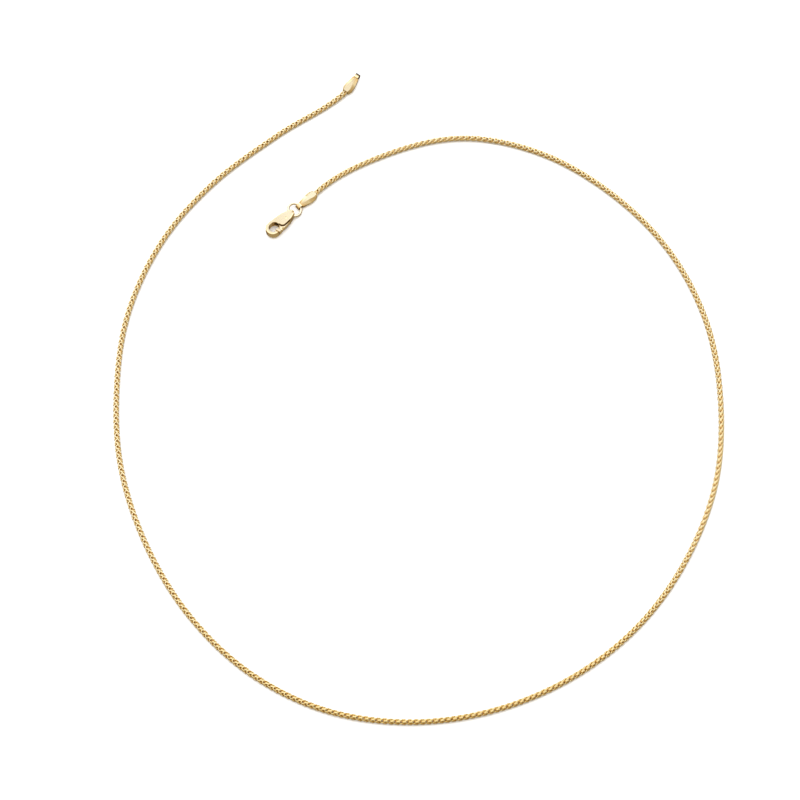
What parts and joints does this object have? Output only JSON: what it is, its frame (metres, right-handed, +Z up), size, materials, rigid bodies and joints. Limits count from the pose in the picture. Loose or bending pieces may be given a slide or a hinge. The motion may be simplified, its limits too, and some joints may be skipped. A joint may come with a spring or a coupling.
{
  "type": "wheat chain",
  "caption": "Wheat chain necklace in yellow gold laid open on a surface, with folded end caps, a jump ring and a lobster clasp with a sprung lever.",
  "frame": {"origin": "centre of the necklace's box in plan, on the surface that it lies on", "axes": "+X to the right of the pictured loop, +Y away from its viewer, towards the open ends, +Z up from the surface"},
  "size_m": [0.1322, 0.1504, 0.0023],
  "materials": {
    "chain_gold": "polished yellow gold wire",
    "cap_gold": "polished yellow gold sheet",
    "ring_gold": "polished yellow gold wire",
    "clasp_gold": "polished cast yellow gold",
    "lever_gold": "polished cast yellow gold"
  },
  "bodies": {
    "necklace": {"chain": "chain_gold", "far_end_cap": "cap_gold", "clasp_end_cap": "cap_gold", "jump_ring": "ring_gold", "clasp_body": "clasp_gold", "clasp_pin": "clasp_gold"},
    "lever": {"clasp_lever": "lever_gold"}
  },
  "joints": [
    {"name": "lever_hinge", "type": "hinge", "parent": "necklace", "child": "lever", "pos_m": [-0.02908, 0.03934, 0.00115], "axis": [0, 0, -1], "range_deg": [0, 22], "stiffness_Nm_per_rad": 0.001, "springref_deg": -5.73}
  ]
}
